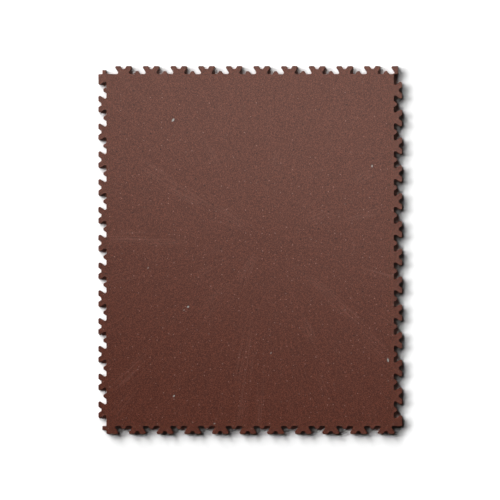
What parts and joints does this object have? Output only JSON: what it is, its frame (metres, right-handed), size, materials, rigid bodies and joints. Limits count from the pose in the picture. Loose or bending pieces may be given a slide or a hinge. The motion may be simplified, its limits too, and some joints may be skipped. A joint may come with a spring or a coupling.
{
  "type": "interlocking pvc floor tile",
  "caption": "Flat rectangular plastic floor tile whose four edges carry notched dovetail tabs and slots that lock it to the tiles laid around it.",
  "frame": {"origin": "middle of the tile's underside, the centre of its bounding box in X and Y", "axes": "+Z out of the walking face, +Y along the tile's longer side, +X along its shorter side"},
  "size_m": [0.5138, 0.6226, 0.007],
  "materials": {
    "pvc": "satin"
  },
  "bodies": {
    "root": {"floor_tile": "pvc"}
  },
  "joints": []
}
